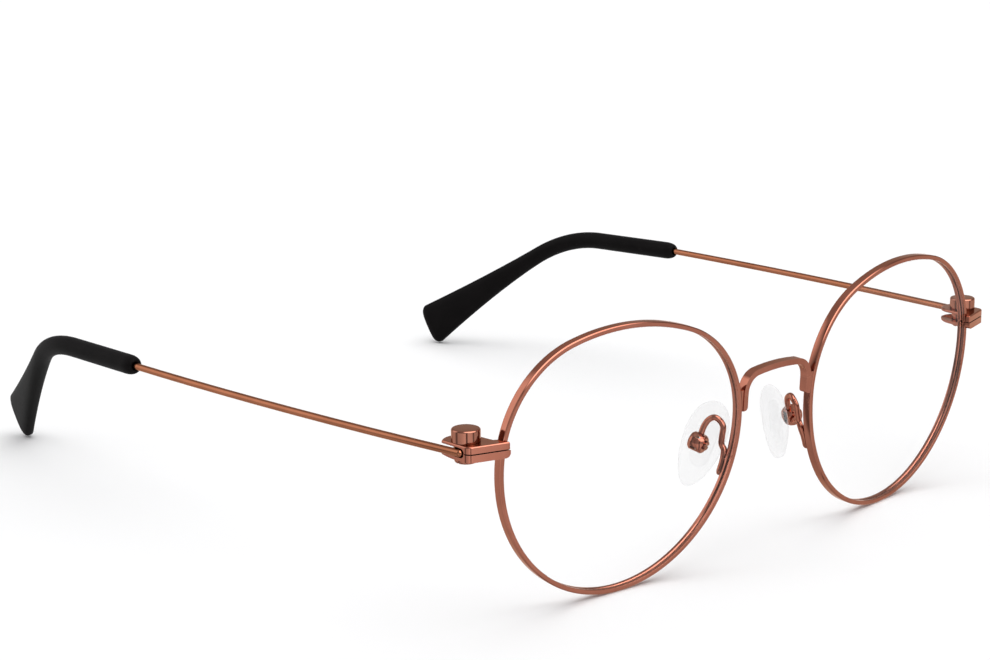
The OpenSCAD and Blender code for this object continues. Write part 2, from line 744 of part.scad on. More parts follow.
// The pad's core is a flat plate inside the soft pad, with the tab that the screw holds.
core_t = pad_t * 0.35;
core_w = pad_w * 0.45;
core_h = pad_h * 0.55;
pad_mid = -pad_stand - pad_t / 2;
module core_body(grow) {
    translate([pad_mid, 0, 0]) rotate([0, 90, 0]) linear_extrude(core_t + 2 * grow, center = true) union() {
        square([core_h - core_w, core_w + 2 * grow], center = true);
        for (end = [-1, 1]) {
            translate([end * (core_h - core_w) / 2, 0]) circle(core_w / 2 + grow);
        }
    }
    tab_h = box_h * 0.66;
    translate([pad_mid, -tab_t / 2 - grow, -tab_h / 2 - grow])
        cube([-pad_mid + grow, tab_t + 2 * grow, tab_h + 2 * grow]);
    rotate([90, 0, 0]) cylinder(h = tab_t + 2 * grow, d = tab_h + 2 * grow, center = true);
}

module pad_core() {
    on_pad() difference() {
        core_body(0);
        rotate([90, 0, 0]) cylinder(h = far, d = pad_screw_d + 2 * run_gap, center = true);
    }
}

// The soft pad: an egg-shaped outline, drawn in towards both faces.
pad_sides = 36;
pad_layers = 8;
pad_edge = pad_t * 0.45;
function egg(a, inset) = [
    (pad_w / 2 - inset) * cos(a) * (1 + 0.2 * sin(a)) + pad_w * 0.054,
    (pad_h / 2 - inset) * sin(a) - pad_h * 0.03
];
PAD_RINGS = [
    for (i = [0:pad_layers])
        let (turn = 180 * i / pad_layers - 90)
        [
            for (k = [0:pad_sides - 1])
                let (at = egg(360 * k / pad_sides, pad_edge * (1 - cos(turn))))
                [pad_mid + pad_t / 2 * sin(turn), at[0], at[1]]
        ]
];

module nose_pad() {
    on_pad() difference() {
        skin(PAD_RINGS);
        core_body(seam);
    }
}

module left_rim() { color(metal) rim(); }
module right_rim() { right() left_rim(); }
module left_lens() { color([0.9, 0.95, 0.97, 0.3]) lens(); }
module right_lens() { right() left_lens(); }
module bridge() { color(metal) bridge_shape(); }
module left_upper_lug() { color(metal) upper_lug(); }
module right_upper_lug() { right() left_upper_lug(); }
module left_lower_lug() { color(metal) lower_lug(); }
module right_lower_lug() { right() left_lower_lug(); }
module left_hinge_knob() { color(metal) hinge_knob(); }
module right_hinge_knob() { right() left_hinge_knob(); }
module left_hinge_screw() { color(metal) hinge_screw(); }
module right_hinge_screw() { right() left_hinge_screw(); }
module left_hinge_barrel() { color(metal) hinge_barrel(); }
module right_hinge_barrel() { right() left_hinge_barrel(); }
module left_temple_wire() { color(metal) temple_wire(); }
module right_temple_wire() { right() left_temple_wire(); }
module left_temple_tip() { color([0.06, 0.06, 0.06]) temple_tip(); }
module right_temple_tip() { right() left_temple_tip(); }
module left_pad_arm() { color(metal) pad_arm(); }
module right_pad_arm() { right() left_pad_arm(); }
module left_pad_box() { color(metal) pad_box(); }
module right_pad_box() { right() left_pad_box(); }
module left_pad_screw() { color(metal) pad_screw(); }
module right_pad_screw() { right() left_pad_screw(); }
module left_pad_core() { color([0.85, 0.87, 0.88]) pad_core(); }
module right_pad_core() { right() left_pad_core(); }
module left_nose_pad() { color([0.94, 0.95, 0.96, 0.6]) nose_pad(); }
module right_nose_pad() { right() left_nose_pad(); }

left_rim();
right_rim();
left_lens();
right_lens();
bridge();
left_upper_lug();
right_upper_lug();
left_lower_lug();
right_lower_lug();
left_hinge_knob();
right_hinge_knob();
left_hinge_screw();
right_hinge_screw();
left_hinge_barrel();
right_hinge_barrel();
left_temple_wire();
right_temple_wire();
left_temple_tip();
right_temple_tip();
left_pad_arm();
right_pad_arm();
left_pad_box();
right_pad_box();
left_pad_screw();
right_pad_screw();
left_pad_core();
right_pad_core();
left_nose_pad();
right_nose_pad();
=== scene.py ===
import json
import math

import bmesh
import bpy
import numpy as np
from mathutils import Matrix, Vector

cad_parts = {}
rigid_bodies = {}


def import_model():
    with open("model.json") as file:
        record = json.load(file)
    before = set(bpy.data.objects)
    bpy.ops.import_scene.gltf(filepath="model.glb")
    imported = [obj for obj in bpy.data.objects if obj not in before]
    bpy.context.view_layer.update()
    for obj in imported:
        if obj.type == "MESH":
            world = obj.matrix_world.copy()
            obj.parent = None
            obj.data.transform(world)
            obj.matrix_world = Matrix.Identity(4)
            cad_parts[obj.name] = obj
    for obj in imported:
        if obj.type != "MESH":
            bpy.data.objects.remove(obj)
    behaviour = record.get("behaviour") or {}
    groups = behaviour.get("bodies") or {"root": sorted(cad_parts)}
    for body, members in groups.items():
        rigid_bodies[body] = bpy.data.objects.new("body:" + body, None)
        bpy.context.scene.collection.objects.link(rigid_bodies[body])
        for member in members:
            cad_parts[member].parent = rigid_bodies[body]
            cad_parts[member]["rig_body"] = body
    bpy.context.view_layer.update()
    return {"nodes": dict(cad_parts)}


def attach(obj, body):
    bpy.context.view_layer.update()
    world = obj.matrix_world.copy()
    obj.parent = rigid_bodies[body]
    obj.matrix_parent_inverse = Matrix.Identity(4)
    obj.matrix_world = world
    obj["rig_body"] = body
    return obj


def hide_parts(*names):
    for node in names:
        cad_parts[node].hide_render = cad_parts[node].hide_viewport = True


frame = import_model()
nodes = frame["nodes"]
scene = bpy.context.scene
MM = 0.001
SIDES = {"left": 1, "right": -1}


# Camera: the photograph's own.
CAMERA_AT = (-0.28734, -0.3179204, 0.12997)
CAMERA_RIGHT = Vector((0.73346, -0.6797, -0.00736)).normalized()
CAMERA_AHEAD = Vector((0.65873, 0.71342, -0.23897)).normalized()
CAMERA_LENS, SENSOR_WIDTH = 85.43, 36.0
CLIP_START, CLIP_END = 0.01, 50.0
camera_data = bpy.data.cameras.new("camera")
camera_data.sensor_width = SENSOR_WIDTH
camera_data.lens = CAMERA_LENS
camera_data.clip_start = CLIP_START
camera_data.clip_end = CLIP_END
camera = bpy.data.objects.new("camera", camera_data)
scene.collection.objects.link(camera)
camera_up = CAMERA_RIGHT.cross(CAMERA_AHEAD).normalized()
camera_turn = Matrix((CAMERA_RIGHT, camera_up, -CAMERA_AHEAD)).transposed()
camera.matrix_world = Matrix.Translation(CAMERA_AT) @ camera_turn.to_4x4()
scene.camera = camera
scene.view_settings.view_transform = "Standard"
scene.view_settings.look = "None"


# Shader helpers

def new_material(name):
    material = bpy.data.materials.new(name)
    material.use_nodes = True
    tree = material.node_tree
    return material, tree, tree.nodes["Principled BSDF"]


def add(tree, kind, **settings):
    node = tree.nodes.new(kind)
    for key, value in settings.items():
        setattr(node, key, value)
    return node


def noise(tree, scale, stretch=(1, 1, 1), detail=3.0, rough=0.55):
    where = add(tree, "ShaderNodeTexCoord")
    mapping = add(tree, "ShaderNodeMapping")
    mapping.inputs["Scale"].default_value = [scale * s for s in stretch]
    tree.links.new(where.outputs["Object"], mapping.inputs["Vector"])
    tex = add(tree, "ShaderNodeTexNoise")
    tex.inputs["Scale"].default_value = 1.0
    tex.inputs["Detail"].default_value = detail
    tex.inputs["Roughness"].default_value = rough
    tree.links.new(mapping.outputs["Vector"], tex.inputs["Vector"])
    return tex.outputs["Fac"]


def ramp(tree, value, stops):
    """A colour ramp through (position, colour) stops."""
    node = add(tree, "ShaderNodeValToRGB")
    band = node.color_ramp
    while len(band.elements) < len(stops):
        band.elements.new(0.5)
    for element, (at, colour) in zip(band.elements, stops):
        element.position = at
        element.color = (*colour, 1.0)
    tree.links.new(value, node.inputs["Fac"])
    return node.outputs["Color"]


def spread(tree, value, low, high, start=0.3, end=0.7):
    node = add(tree, "ShaderNodeMapRange")
    node.inputs["From Min"].default_value = start
    node.inputs["From Max"].default_value = end
    node.inputs["To Min"].default_value = low
    node.inputs["To Max"].default_value = high
    tree.links.new(value, node.inputs["Value"])
    return node.outputs["Result"]


def mix(tree, factor, first, second):
    node = add(tree, "ShaderNodeMix", data_type="RGBA")
    tree.links.new(factor, node.inputs["Factor"])
    a, b = [s for s in node.inputs if s.type == "RGBA"]
    for socket, value in ((a, first), (b, second)):
        if isinstance(value, tuple):
            socket.default_value = (*value, 1.0)
        else:
            tree.links.new(value, socket)
    return [s for s in node.outputs if s.type == "RGBA"][0]


def bumps(tree, shader, height, strength, distance):
    node = add(tree, "ShaderNodeBump")
    node.inputs["Strength"].default_value = strength
    node.inputs["Distance"].default_value = distance
    tree.links.new(height, node.inputs["Height"])
    tree.links.new(node.outputs["Normal"], shader.inputs["Normal"])


# Metals: copper-brown plating with paler worn edges, and painted shade that darkens the corners.
EDGE_RADIUS, EDGE_LIMITS = 0.00010, (0.82, 0.99)
CREVICE_REACH, CREVICE_LIMITS, CREVICE_SHADE = 0.0007, (0.15, 0.62), 0.22
CLOUD_SCALE, CLOUD_LIMITS = 190.0, (0.35, 0.65)
GRAIN_HEIGHT = 0.000004
MASK_SAMPLES = 4
SPECULAR_TINT = (0.88, 0.72, 0.62, 1.0)
EVEN, DRAWN_OUT, LATHE_CUT = (1, 1, 1), (1, 0.03, 1), (1, 1, 0.04)


def edge_mask(tree):
    """White along outer and inner edges."""
    soft = add(tree, "ShaderNodeBevel", samples=MASK_SAMPLES)
    soft.inputs["Radius"].default_value = EDGE_RADIUS
    geometry = add(tree, "ShaderNodeNewGeometry")
    dot = add(tree, "ShaderNodeVectorMath", operation="DOT_PRODUCT")
    tree.links.new(soft.outputs["Normal"], dot.inputs[0])
    tree.links.new(geometry.outputs["Normal"], dot.inputs[1])
    return spread(tree, dot.outputs["Value"], 1.0, 0.0, *EDGE_LIMITS)


def crevices(tree, alone):
    """White in tight corners, where the base colour is darkened as painted shade."""
    shade = add(tree, "ShaderNodeAmbientOcclusion", samples=MASK_SAMPLES, only_local=alone)
    shade.inputs["Distance"].default_value = CREVICE_REACH
    return spread(tree, shade.outputs["AO"], 1.0, 0.0, *CREVICE_LIMITS)


def metal(name, light, dark, worn, rough, grain, stretch, strength, alone=False):
    """alone: only the piece itself, not its neighbours, makes the corners that get painted shade."""
    material, tree, shader = new_material(name)
    shader.inputs["Metallic"].default_value = 1.0
    shader.inputs["Specular Tint"].default_value = SPECULAR_TINT
    cloud = noise(tree, CLOUD_SCALE, detail=4.0)
    tone = mix(tree, spread(tree, cloud, 0.0, 1.0, *CLOUD_LIMITS), dark, light)
    rubbed = mix(tree, edge_mask(tree), tone, worn)
    # Painted shade: in tight corners the base colour is pulled towards a much darker copper.
    crevice_shade = tuple(CREVICE_SHADE * c for c in dark)
    corner_shaded = mix(tree, crevices(tree, alone), rubbed, crevice_shade)
    tree.links.new(corner_shaded, shader.inputs["Base Color"])
    fine = noise(tree, grain, stretch, detail=4.0, rough=0.6)
    tree.links.new(spread(tree, fine, *rough), shader.inputs["Roughness"])
    bumps(tree, shader, fine, strength, GRAIN_HEIGHT)
    return material


LIGHT = (0.400, 0.150, 0.101)
DARK = (0.342, 0.124, 0.082)
WORN = (0.48, 0.20, 0.140)
copper = metal("copper_polished", LIGHT, DARK, WORN, (0.07, 0.12), 900.0, EVEN, 0.06)
rim_copper = metal("copper_rim", LIGHT, DARK, WORN, (0.06, 0.11), 900.0, EVEN, 0.06, alone=True)
drawn = metal("copper_drawn", (0.362, 0.136, 0.072), (0.31, 0.114, 0.059), WORN,
              (0.13, 0.20), 2400.0, DRAWN_OUT, 0.2)
turned = metal("copper_turned", (0.372, 0.151, 0.102), (0.322, 0.127, 0.085), WORN,
               (0.08, 0.13), 2600.0, LATHE_CUT, 0.12)
# Painted shade: a darker, rougher copper for the groove faces, drawn as the shaded line inside the
# rim.
groove = metal("copper_groove_shade", (0.150, 0.058, 0.040), (0.105, 0.040, 0.028),
               (0.22, 0.085, 0.058), (0.32, 0.48), 1500.0, EVEN, 0.3, alone=True)


# Plastics and glass
PLASTIC_GRAIN = 0.00001
TIP_DARK, TIP_PALE = (0.0052, 0.0046, 0.0047), (0.0074, 0.0065, 0.0066)
TIP_CLOUD, TIP_FINE, TIP_ROUGH, TIP_GLOSS, TIP_BUMP = 220.0, 3600.0, (0.46, 0.56), 0.033, 0.12
FILM_COLOURS = (0.80, 0.92, 0.90), (0.90, 0.93, 0.97)
FILM_CLOUD, FILM_ROUGH, FILM_SHARE, GLASS_IOR = 60.0, (0.015, 0.035), 0.30, 1.5
SOFT_CLOUD, SOFT_SHADE, SOFT_FINE, SOFT_BUMP, SOFT_IOR = 700.0, 0.93, 2600.0, 0.08, 1.41
SIDE_BLEND, SIDE_FULL = 0.35, 0.9


def black_tip(name):
    material, tree, shader = new_material(name)
    cloud = noise(tree, TIP_CLOUD, detail=4.0)
    tree.links.new(mix(tree, spread(tree, cloud, 0.0, 1.0), TIP_DARK, TIP_PALE),
                   shader.inputs["Base Color"])
    fine = noise(tree, TIP_FINE, detail=4.0, rough=0.65)
    tree.links.new(spread(tree, fine, *TIP_ROUGH), shader.inputs["Roughness"])
    shader.inputs["Specular IOR Level"].default_value = TIP_GLOSS
    bumps(tree, shader, fine, TIP_BUMP, PLASTIC_GRAIN)
    return material


def clear_lens(name):
    """Coated glass: a faint mirror on its outer side that follows Fresnel, clear otherwise."""
    material, tree, shader = new_material(name)
    film = noise(tree, FILM_CLOUD, detail=2.0)
    tree.links.new(mix(tree, spread(tree, film, 0.0, 1.0), *FILM_COLOURS),
                   shader.inputs["Base Color"])
    tree.links.new(spread(tree, film, *FILM_ROUGH), shader.inputs["Roughness"])
    gloss = add(tree, "ShaderNodeFresnel")
    gloss.inputs["IOR"].default_value = GLASS_IOR
    sides = add(tree, "ShaderNodeNewGeometry")
    outer = spread(tree, sides.outputs["Backfacing"], FILM_SHARE, 0.0, 0.0, 1.0)
    mirror = add(tree, "ShaderNodeMath", operation="MULTIPLY")
    tree.links.new(gloss.outputs["Fac"], mirror.inputs[0])
    tree.links.new(outer, mirror.inputs[1])
    tree.links.new(mirror.outputs["Value"], shader.inputs["Alpha"])
    shader.inputs["Metallic"].default_value = 1.0
    return material


def clear_soft(name, low, high, start, tint, rough):
    """Clear silicone or plastic: denser where it is seen from the side."""
    material, tree, shader = new_material(name)
    facing = add(tree, "ShaderNodeLayerWeight")
    facing.inputs["Blend"].default_value = SIDE_BLEND
    cloud = noise(tree, SOFT_CLOUD, detail=3.0)
    shade = tuple(SOFT_SHADE * c for c in tint)
    tree.links.new(mix(tree, spread(tree, cloud, 0.0, 1.0), tint, shade),
                   shader.inputs["Base Color"])
    fine = noise(tree, SOFT_FINE, detail=3.0)
    tree.links.new(spread(tree, fine, *rough), shader.inputs["Roughness"])
    tree.links.new(spread(tree, facing.outputs["Facing"], low, high, start, SIDE_FULL),
                   shader.inputs["Alpha"])
    shader.inputs["IOR"].default_value = SOFT_IOR
    bumps(tree, shader, fine, SOFT_BUMP, PLASTIC_GRAIN)
    return material


tip_black = black_tip("tip_black")
lens_clear = clear_lens("lens_clear")
pad_clear = clear_soft("pad_clear", 0.10, 0.28, 0.0, (0.86, 0.865, 0.87), (0.24, 0.34))
core_clear = clear_soft("core_clear", 0.01, 0.26, 0.4, (0.66, 0.67, 0.68), (0.10, 0.16))


# Pieces

def finish_piece(piece, node, material):
    piece.data.materials.clear()
    piece.data.materials.append(material)
    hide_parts(node)
    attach(piece, nodes[node]["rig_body"])
    return piece


def from_points(name, verts, faces):
    mesh = bpy.data.meshes.new(name)
    mesh.from_pydata([tuple(v) for v in verts], [], faces)
    mesh.validate()
    mesh.polygons.foreach_set("use_smooth", [True] * len(mesh.polygons))
    piece = bpy.data.objects.new(name, mesh)
    scene.collection.objects.link(piece)
    return piece


def tube(name, rings, mirrored):
    """A closed skin over rings of points, which are in metres on the left side."""
    sides = len(rings[0])
    verts = [(-v[0], v[1], v[2]) if mirrored else tuple(v) for ring in rings for v in ring]
    faces = []
    for r in range(len(rings) - 1):
        here, there = r * sides, (r + 1) * sides
        for i in range(sides):
            j = (i + 1) % sides
            faces.append((here + i, here + j, there + j, there + i))
    for at in (0, (len(rings) - 1) * sides):
        faces.append(tuple(range(at, at + sides)))
    piece = from_points(name, verts, faces)
    bm = bmesh.new()
    bm.from_mesh(piece.data)
    bmesh.ops.recalc_face_normals(bm, faces=bm.faces)
    bm.to_mesh(piece.data)
    bm.free()
    return piece


# Small pieces copied from their CAD nodes. Distances in metres, angles in degrees.
SAME_POINT = 2e-7
FLAT_BEVELLED, FLAT_WIRE = 0.6, 0.3
SHARP_EDGE, CORNER_EDGE, WIRE_END = 32.0, 100.0, 50.0
TOP_BAND, SLIGHT, END_CREASE = 0.0002, 0.3, 0.9
JOIN_BEND, JOIN_SHAPE = 20, 60


def open_copy(node, suffix, flat):
    """A copy of a CAD node and its mesh to edit, with flat parts merged into single faces."""
    mesh = nodes[node].data.copy()
    mesh.name = node + suffix
    piece = bpy.data.objects.new(node + suffix, mesh)
    scene.collection.objects.link(piece)
    bm = bmesh.new()
    bm.from_mesh(mesh)
    bmesh.ops.remove_doubles(bm, verts=bm.verts, dist=SAME_POINT)
    bmesh.ops.dissolve_limit(bm, angle_limit=math.radians(flat), verts=bm.verts, edges=bm.edges)
    return piece, bm


def close_copy(piece, bm):
    """Write the edited mesh back, smooth and without the CAD file's stored normals."""
    for face in bm.faces:
        face.smooth = True
    bm.to_mesh(piece.data)
    bm.free()
    attributes = piece.data.attributes
    if "custom_normal" in attributes:
        attributes.remove(attributes["custom_normal"])


def broken_edges(node, width, material, segments=3, wide_top=False):
    """A copy with its sharp edges rounded, as tumbling and polishing leave them.

    wide_top: the full width only round the top face and at the sharpest corner.
    """
    piece, bm = open_copy(node, "_finished", FLAT_BEVELLED)
    weight = bm.edges.layers.float.new("bevel_weight_edge")
    top = max(v.co.z for v in bm.verts) - TOP_BAND
    for edge in bm.edges:
        turn = edge.calc_face_angle(0.0)
        if turn > math.radians(SHARP_EDGE):
            on_top = min(v.co.z for v in edge.verts) > top
            full = not wide_top or on_top or turn > math.radians(CORNER_EDGE)
            edge[weight] = 1.0 if full else SLIGHT
    close_copy(piece, bm)
    rounding = piece.modifiers.new("edges", "BEVEL")
    rounding.width = width
    rounding.segments = segments
    rounding.limit_method = "WEIGHT"
    rounding.use_clamp_overlap = not wide_top
    rounding.harden_normals = True
    return finish_piece(piece, node, material)


def smooth_wire(node, material):
    """A copy of a faceted wire, drawn smooth, with its end faces kept flat."""
    piece, bm = open_copy(node, "_smooth", FLAT_WIRE)
    bmesh.ops.join_triangles(bm, faces=[f for f in bm.faces if len(f.verts) == 3],
                             angle_face_threshold=math.radians(JOIN_BEND),
                             angle_shape_threshold=math.radians(JOIN_SHAPE))
    crease = bm.edges.layers.float.new("crease_edge")
    for edge in bm.edges:
        if edge.calc_face_angle(0.0) > math.radians(WIRE_END):
            edge[crease] = END_CREASE
    close_copy(piece, bm)
    finer = piece.modifiers.new("smooth", "SUBSURF")
    finer.levels = finer.render_levels = 1
    return finish_piece(piece, node, material)


UPPER_LUG_EDGE, LOWER_LUG_EDGE, BRIDGE_EDGE = 0.00028, 0.00024, 0.00014
PAD_EDGES, HINGE_EDGES, SCREW_EDGES = 0.00012, 0.00006, 0.00005
for side in SIDES:
    smooth_wire(side + "_pad_arm", copper)
    broken_edges(side + "_upper_lug", UPPER_LUG_EDGE, copper, segments=5, wide_top=True)
    broken_edges(side + "_lower_lug", LOWER_LUG_EDGE, copper, segments=4)
    broken_edges(side + "_hinge_knob", HINGE_EDGES, turned)
    broken_edges(side + "_hinge_screw", SCREW_EDGES, turned)
    broken_edges(side + "_hinge_barrel", HINGE_EDGES, copper)
    broken_edges(side + "_pad_box", PAD_EDGES, copper)
    broken_edges(side + "_pad_screw", SCREW_EDGES, turned)
    broken_edges(side + "_pad_core", PAD_EDGES, core_clear)
    for part, material in (("_temple_wire", drawn), ("_lens", lens_clear)):
        nodes[side + part].data.materials.clear()
        nodes[side + part].data.materials.append(material)
broken_edges("bridge", BRIDGE_EDGE, copper)


# The sizes below are the part's own, in millimetres and degrees.

def sin(a):
    return math.sin(math.radians(a))


def cos(a):
    return math.cos(math.radians(a))


def unit(v):
    return v / np.linalg.norm(v)


# Temple tips: a skin drawn through many rings, along the same path as the solid.
HINGE = np.array([61.6371, -66.8755, 28.6022])
BARREL_D, WIRE_D, BRAZE = 3.7, 1.2, 0.1
BOW_R, SPLAY, DIP, MOUTH_AT = 735.0, 5.8, 0.5, 78.0
TIP_RUN, TIP_IN, TIP_DROOP, TIP_H, TIP_T = 21.0, 2.8, 1.3, 3.5, 3.5
DROP_ANGLE, DROP_CANT, BEND_R, DROP_LEN = 35.0, 26.5, 28.0, 33.475
PADDLE_W, PADDLE_T, PADDLE_SET = 9.1, 2.7, 0.4
PADDLE_ROUND, PADDLE_CORNER, PADDLE_SQUARE, FLARE_POWER = 1.8, 2.1, 1.2, 1.55
END_TURN, END_FLAT = 84, 0.16
TIP_NOSE, MOUTH_LIP, MOUTH_HOLE = 2.2, 0.96, 0.744
# The recess round the wire, as (radius, depth) pairs from its floor to the rim of the mouth.
RECESS = ((0.61, 0.62), (0.7, 0.58), (MOUTH_HOLE, 0.5), (MOUTH_HOLE, 0.06), (0.8, 0.0))
NOSE_STEPS, RUN_STEPS, BEND_STEPS, DROP_STEPS, END_STEPS = 12, 12, 24, 28, 14
RING_POINTS = 48
# The skin lies this far inside the solid, so that its bends stay in the part's box.
INSIDE = 0.018

Z = np.array([0.0, 0.0, 1.0])
wire_out = BARREL_D / 2 + WIRE_D / 2 - BRAZE
mouth_turn = math.degrees(MOUTH_AT / BOW_R) - SPLAY
bow_centre = np.array([wire_out - BOW_R * cos(SPLAY), BOW_R * sin(SPLAY), 0.0])
mouth = bow_centre + BOW_R * np.array([cos(mouth_turn), sin(mouth_turn), 0.0])
run_turn = mouth_turn + TIP_IN
run_out = np.array([cos(run_turn), sin(run_turn), 0.0])
run_back = np.array([-sin(run_turn), cos(run_turn), 0.0])
run_t = cos(TIP_DROOP) * run_back - sin(TIP_DROOP) * Z
run_up = sin(TIP_DROOP) * run_back + cos(TIP_DROOP) * Z
bend_n = -sin(DROP_CANT) * run_out - cos(DROP_CANT) * run_up
bend_b = np.cross(run_t, bend_n)
bend_centre = mouth + TIP_RUN * run_t + BEND_R * bend_n


def bend_point(a):
    return bend_centre + BEND_R * (sin(a) * run_t - cos(a) * bend_n)


def bend_normal(a):
    return cos(a) * bend_n - sin(a) * run_t


drop_from = bend_point(DROP_ANGLE)
drop_t = cos(DROP_ANGLE) * run_t + sin(DROP_ANGLE) * bend_n
drop_n = bend_normal(DROP_ANGLE)
paddle_down = unit(np.array([0.0, drop_t[2], -drop_t[1]]))
paddle_side = np.cross(drop_t, paddle_down)
paddle_turn = math.degrees(math.atan2(paddle_down @ bend_b, paddle_down @ drop_n))
flare = (PADDLE_W - TIP_H) / 2


def temple_place(v):
    """A point of the temple's own frame, in metres in the row frame."""
    dipped = np.array([v[0], v[1] * cos(DIP) + v[2] * sin(DIP), v[2] * cos(DIP) - v[1] * sin(DIP)])
    return (HINGE + dipped) * MM


def tip_ring(centre, across, along, half_a, half_b, power=2):
    """A ring round the tip: an ellipse, or squarer with a higher power."""
    found = []
    for i in range(RING_POINTS):
        c, s = cos(360.0 * i / RING_POINTS), sin(360.0 * i / RING_POINTS)
        c = math.copysign(abs(c) ** (2.0 / power), c)
        s = math.copysign(abs(s) ** (2.0 / power), s)
        at = centre + (half_a - INSIDE) * c * across + (half_b - INSIDE) * s * along
        found.append(temple_place(at))
    return found


def tip_rings():
    rings = []
    for radius, depth in RECESS:
        rings.append(tip_ring(mouth + depth * run_t, bend_n, bend_b, radius, radius))
    for i in range(NOSE_STEPS + 1):
        a = 90.0 * i / NOSE_STEPS
        half = MOUTH_LIP + (TIP_H / 2 - MOUTH_LIP) * sin(a)
        at = mouth + TIP_NOSE * (1 - cos(a)) * run_t
        rings.append(tip_ring(at, bend_n, bend_b, half, half))
    for i in range(1, RUN_STEPS + 1):
        reach = TIP_NOSE + (TIP_RUN - TIP_NOSE) * i / RUN_STEPS
        rings.append(tip_ring(mouth + reach * run_t, bend_n, bend_b, TIP_H / 2, TIP_T / 2))
    for i in range(1, BEND_STEPS + 1):
        a, twist = DROP_ANGLE * i / BEND_STEPS, paddle_turn * i / BEND_STEPS
        across = cos(twist) * bend_normal(a) + sin(twist) * bend_b
        along = cos(twist) * bend_b - sin(twist) * bend_normal(a)
        rings.append(tip_ring(bend_point(a), across, along, TIP_H / 2, TIP_T / 2))
    for i in range(1, DROP_STEPS + 1):
        part = i / DROP_STEPS
        widen = flare * part ** FLARE_POWER
        at = drop_from + part * (DROP_LEN - PADDLE_ROUND) * drop_t
        at = at + PADDLE_SET * widen * paddle_down
        rings.append(tip_ring(at, paddle_down, paddle_side, TIP_H / 2 + widen,
                              TIP_T / 2 + (PADDLE_T - TIP_T) / 2 * part, 2 + PADDLE_SQUARE * part))
    for i in range(1, END_STEPS + 1):
        a = END_TURN * i / END_STEPS
        at = drop_from + (DROP_LEN - PADDLE_ROUND * (1 - sin(a) / sin(END_TURN))) * drop_t
        at = at + PADDLE_SET * flare * paddle_down
        rings.append(tip_ring(at, paddle_down, paddle_side,
                              PADDLE_W / 2 - PADDLE_CORNER * (1 - cos(a)),
                              PADDLE_T / 2 * (END_FLAT + (1 - END_FLAT) * cos(a)),
                              2 + PADDLE_SQUARE - i / END_STEPS))
    return rings


skin_rings = tip_rings()
for side, sign in SIDES.items():
    skin = tube(side + "_tip_skin", skin_rings, sign < 0)
    finish_piece(skin, side + "_temple_tip", tip_black)


# Rim wires: one sweep each, from above the slit round to below it, with painted shade (a darker
# copper) on the faces in the groove.
RIM_R, RIM_H, BROW_R, SHOULDER_R, OUTLINE_TURN = 24.9, 44.4, 40.5, 18.0, 3.3
RIM_D, RIM_T, RIM_BEVEL, RIM_SOFT = 1.55, 0.8, 0.16, 0.05
GROOVE_W, GROOVE_DEPTH, GROOVE_LIP = 0.5, 0.3, 0.3
WRAP, LEAN, NOSE_GAP, MIDDLE, SLIT = 5.3, 3.2, 17.2, 72.8755, 0.14
SHOULDER_STEPS, BROW_STEPS, LOW_STEPS, SOFT_STEPS = 64, 60, 190, 3
brow_sink = BROW_R - (RIM_H - RIM_R)
low_reach, brow_reach = RIM_R - SHOULDER_R, BROW_R - SHOULDER_R
shoulder_y = (brow_reach ** 2 - low_reach ** 2 - brow_sink ** 2) / (2 * brow_sink)
shoulder_x = math.sqrt(low_reach ** 2 - shoulder_y ** 2)
side_turn = math.degrees(math.atan2(shoulder_y, shoulder_x))
brow_turn = math.degrees(math.atan2(shoulder_y + brow_sink, shoulder_x))
lens_x = NOSE_GAP / 2 + RIM_R * cos(WRAP)
lens_z = RIM_R * cos(LEAN) - RIM_BEVEL * sin(LEAN)


def rim_place(across, up, ahead):
    """A point of the outline's own plane, in metres in the row frame."""
    flat = Matrix.Rotation(math.radians(OUTLINE_TURN), 3, "Z") @ Vector((across, up, ahead))
    stood = Vector((flat.x, -flat.z + RIM_D / 2, flat.y))
    wrapped = Matrix.Rotation(math.radians(WRAP), 3, "Z") @ stood
    leant = Matrix.Rotation(math.radians(LEAN), 3, "X") @ wrapped
    return (leant + Vector((lens_x, -MIDDLE, lens_z))) * MM


def rim_height(point):
    return rim_place(point[0], point[1], 0.0)[2]


def outline_points():
    """Points and outward directions round the outline, from above the slit to below it."""
    arcs = ((shoulder_x, shoulder_y, SHOULDER_R, side_turn, brow_turn, SHOULDER_STEPS),
            (0.0, -brow_sink, BROW_R, brow_turn, 180 - brow_turn, BROW_STEPS),
            (-shoulder_x, shoulder_y, SHOULDER_R, 180 - brow_turn, 180 - side_turn, SHOULDER_STEPS),
            (0.0, 0.0, RIM_R, 180 - side_turn, 360 + side_turn, LOW_STEPS),
            (shoulder_x, shoulder_y, SHOULDER_R, 360 + side_turn, 360 + brow_turn, SHOULDER_STEPS))
    found = []
    for x, y, radius, start, end, steps in arcs:
        for i in range(steps):
            a = start + (end - start) * i / steps
            found.append((x + radius * cos(a), y + radius * sin(a), cos(a), sin(a)))
    above, below = (HINGE[2] + SLIT / 2) * MM, (HINGE[2] - SLIT / 2) * MM
    first = next(i for i, p in enumerate(found) if rim_height(p) > above)
    last = max(i for i, p in enumerate(found) if rim_height(p) < below)
    ends = []
    for edge, inner, outer in ((above, found[first], found[first - 1]),
                               (below, found[last], found[last + 1])):
        share = (edge - rim_height(inner)) / (rim_height(outer) - rim_height(inner))
        ends.append(tuple(u + share * (v - u) for u, v in zip(inner, outer)))
    return [ends[0]] + found[first:last + 1] + [ends[1]]


